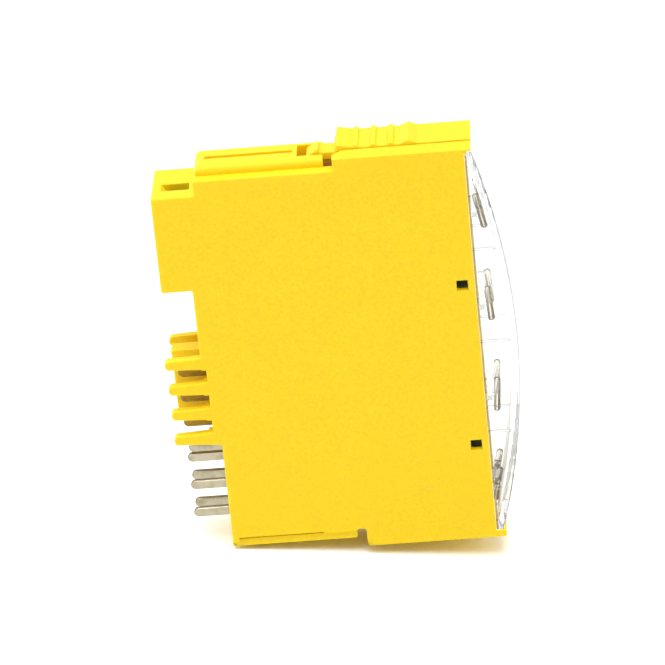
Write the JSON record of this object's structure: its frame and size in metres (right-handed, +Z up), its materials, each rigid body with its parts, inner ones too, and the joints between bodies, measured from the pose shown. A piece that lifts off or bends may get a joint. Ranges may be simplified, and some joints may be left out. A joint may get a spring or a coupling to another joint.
{
  "type": "safe input module",
  "caption": "Slim yellow plug-in electronics module with a clear bowed front, contact blades and a bus nose at the rear and a ribbed release lever on top.",
  "frame": {"origin": "bottom centre of the whole module: the underside of the foot, midway across and midway in depth", "axes": "+X from the plug side to the clear cover, +Y to the right seen from the cover, +Z up to the lever"},
  "size_m": [0.0614, 0.0126, 0.076],
  "materials": {
    "housing_yellow": "fine moulded grain",
    "clear_cover": "clear, polished",
    "label_card": "matt card",
    "light_guide_clear": "clear, polished",
    "blade_tin": "tinned, rolled",
    "connector_black": "moulded",
    "contact_gold": "gold flash",
    "board_green": "solder mask",
    "lamp_epoxy": "moulded",
    "crystal_can": "drawn can",
    "core_grey": "ferrite",
    "chip_black": "moulded",
    "passive_tan": "moulded"
  },
  "bodies": {
    "module": {"buffer_capacitor": "passive_tan", "bus_connector": "connector_black", "bus_contacts": "contact_gold", "bus_controller": "chip_black", "circuit_board": "board_green", "clock_crystal_a": "crystal_can", "clock_crystal_b": "crystal_can", "contact_carrier": "housing_yellow", "front_cover": "clear_cover", "input_filter": "chip_black", "input_isolator_1": "chip_black", "input_isolator_2": "chip_black", "input_isolator_3": "chip_black", "input_isolator_4": "chip_black", "label_strip": "label_card", "left_blade_1": "blade_tin", "left_blade_2": "blade_tin", "left_blade_3": "blade_tin", "left_blade_4": "blade_tin", "left_blade_5": "blade_tin", "left_blade_6": "blade_tin", "left_housing": "housing_yellow", "left_lamp_1": "lamp_epoxy", "left_lamp_2": "lamp_epoxy", "left_lamp_3": "lamp_epoxy", "left_lamp_4": "lamp_epoxy", "light_guide_1": "light_guide_clear", "light_guide_2": "light_guide_clear", "light_guide_3": "light_guide_clear", "light_guide_4": "light_guide_clear", "microcontroller_a": "chip_black", "microcontroller_b": "chip_black", "right_blade_1": "blade_tin", "right_blade_2": "blade_tin", "right_blade_3": "blade_tin", "right_blade_4": "blade_tin", "right_blade_5": "blade_tin", "right_blade_6": "blade_tin", "right_housing": "housing_yellow", "right_lamp_1": "lamp_epoxy", "right_lamp_2": "lamp_epoxy", "right_lamp_3": "lamp_epoxy", "right_lamp_4": "lamp_epoxy", "supply_fuse": "passive_tan", "supply_inductor": "core_grey", "supply_transformer": "core_grey"},
    "lever": {"latch_lever": "housing_yellow"}
  },
  "joints": [
    {"name": "lever_press", "type": "hinge", "parent": "module", "child": "lever", "pos_m": [0.0194, 0, 0.07355], "axis": [0, -1, 0], "range_deg": [0, 4], "stiffness_Nm_per_rad": 0.5, "springref_deg": -2.86}
  ]
}
